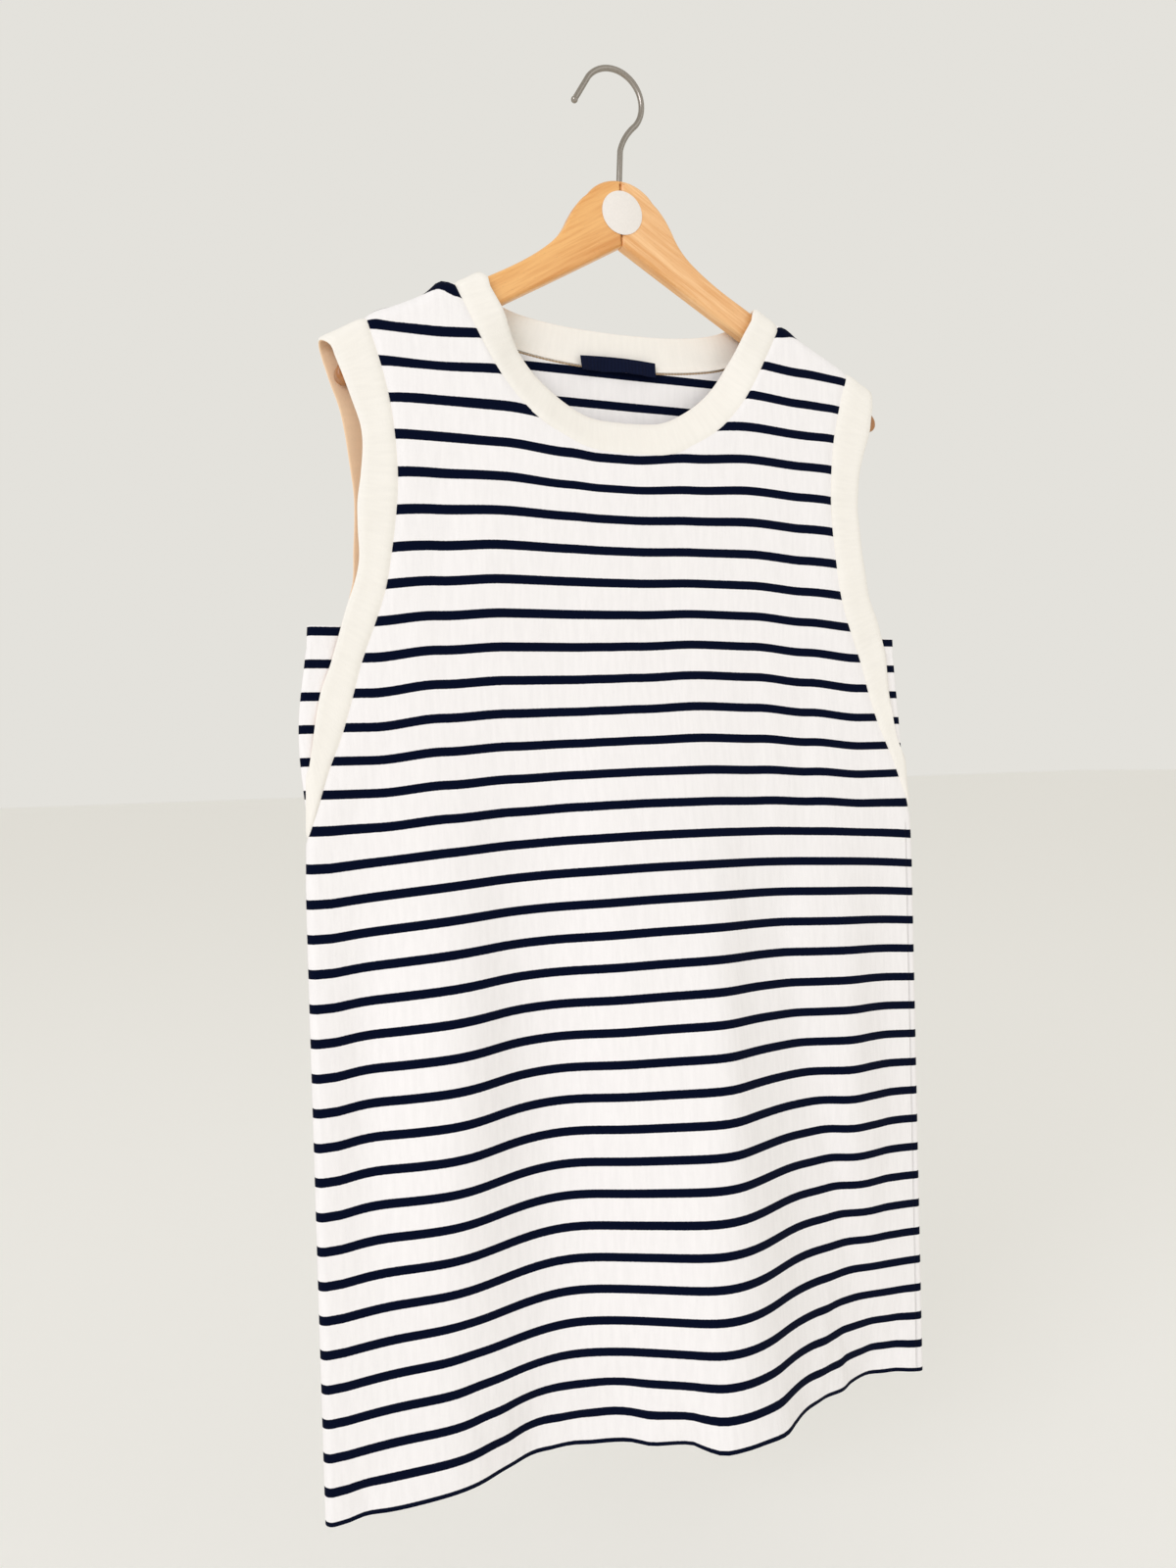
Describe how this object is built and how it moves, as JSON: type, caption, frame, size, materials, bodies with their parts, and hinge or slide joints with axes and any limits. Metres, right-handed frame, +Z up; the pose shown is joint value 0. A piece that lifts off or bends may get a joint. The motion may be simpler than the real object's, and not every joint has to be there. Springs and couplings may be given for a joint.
{
  "type": "mini dress on a hanger",
  "caption": "Sleeveless straight mini dress in striped jersey with plain bands at neck and armholes, hung open and flat on a flat wooden hanger with a wire hook",
  "frame": {"origin": "the inner top of the wire hook, where the rail or peg that holds the whole thing touches it", "axes": "+Z up along the hanging dress, +X to the wearer's left (the viewer's right), +Y from the front of the dress to its back"},
  "size_m": [0.4994, 0.0739, 1.0408],
  "materials": {
    "striped_jersey": "matte heavy cotton jersey, off-white with navy stripes",
    "plain_band": "matte folded cotton jersey, cream",
    "woven_label": "matte woven tape, navy, bare",
    "paper": "satin paper disc, blank",
    "varnished_wood": "clear satin varnish on pale wood",
    "bright_steel": "bright plated steel wire"
  },
  "bodies": {
    "root": {"front_panel": "striped_jersey", "back_panel": "striped_jersey", "underarm_inset_left": "striped_jersey", "underarm_inset_right": "striped_jersey", "neckband": "plain_band", "armband_left": "plain_band", "armband_right": "plain_band", "neck_label": "woven_label", "blank_spot": "paper", "hanger_wood": "varnished_wood", "hanger_hook": "bright_steel"}
  },
  "joints": []
}
